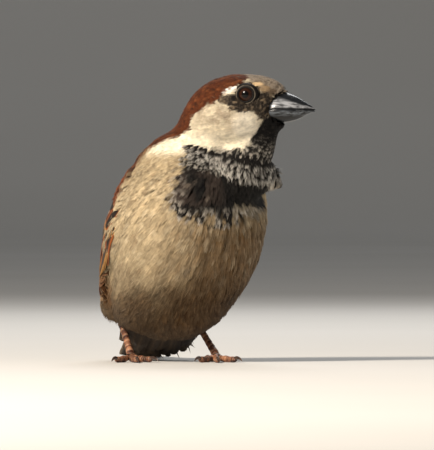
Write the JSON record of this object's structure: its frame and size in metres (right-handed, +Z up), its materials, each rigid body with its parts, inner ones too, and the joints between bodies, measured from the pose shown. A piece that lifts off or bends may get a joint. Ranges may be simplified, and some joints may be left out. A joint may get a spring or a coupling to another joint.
{
  "type": "house sparrow",
  "caption": "Male house sparrow standing upright, head turned to its left, wings folded and tail laid back to the floor: a still, life-size animal model.",
  "frame": {"origin": "middle of the bird's bounding box on the floor, under toes and tail tip", "axes": "+Z up, -Y the way the trunk faces, +X to the bird's left"},
  "size_m": [0.0474, 0.1142, 0.0802],
  "materials": {
    "head_feathers": "short soft feathers, chestnut, grey, black and white",
    "body_feathers": "soft body feathers, buff and grey-brown",
    "wing_coverts": "overlapping vanes, chestnut with a white bar",
    "flight_feathers": "stiff vanes, dusky brown with buff edges",
    "bill": "smooth blackish horn",
    "eye": "polished, dark brown",
    "leg": "scaled skin, pinkish brown",
    "claw": "dark horn"
  },
  "bodies": {
    "root": {"head": "head_feathers", "neck": "head_feathers", "trunk": "body_feathers", "rump": "body_feathers", "tail": "flight_feathers", "bill_upper": "bill", "bill_lower": "bill", "eye_left": "eye", "thigh_left": "body_feathers", "tarsus_left": "leg", "wing_left_coverts": "wing_coverts", "wing_left_tertials": "flight_feathers", "wing_left_primaries": "flight_feathers", "toe_left_middle": "leg", "claw_left_middle": "claw", "toe_left_inner": "leg", "claw_left_inner": "claw", "toe_left_outer": "leg", "claw_left_outer": "claw", "toe_left_hind": "leg", "claw_left_hind": "claw", "eye_right": "eye", "thigh_right": "body_feathers", "tarsus_right": "leg", "wing_right_coverts": "wing_coverts", "wing_right_tertials": "flight_feathers", "wing_right_primaries": "flight_feathers", "toe_right_middle": "leg", "claw_right_middle": "claw", "toe_right_inner": "leg", "claw_right_inner": "claw", "toe_right_outer": "leg", "claw_right_outer": "claw", "toe_right_hind": "leg", "claw_right_hind": "claw"}
  },
  "joints": []
}
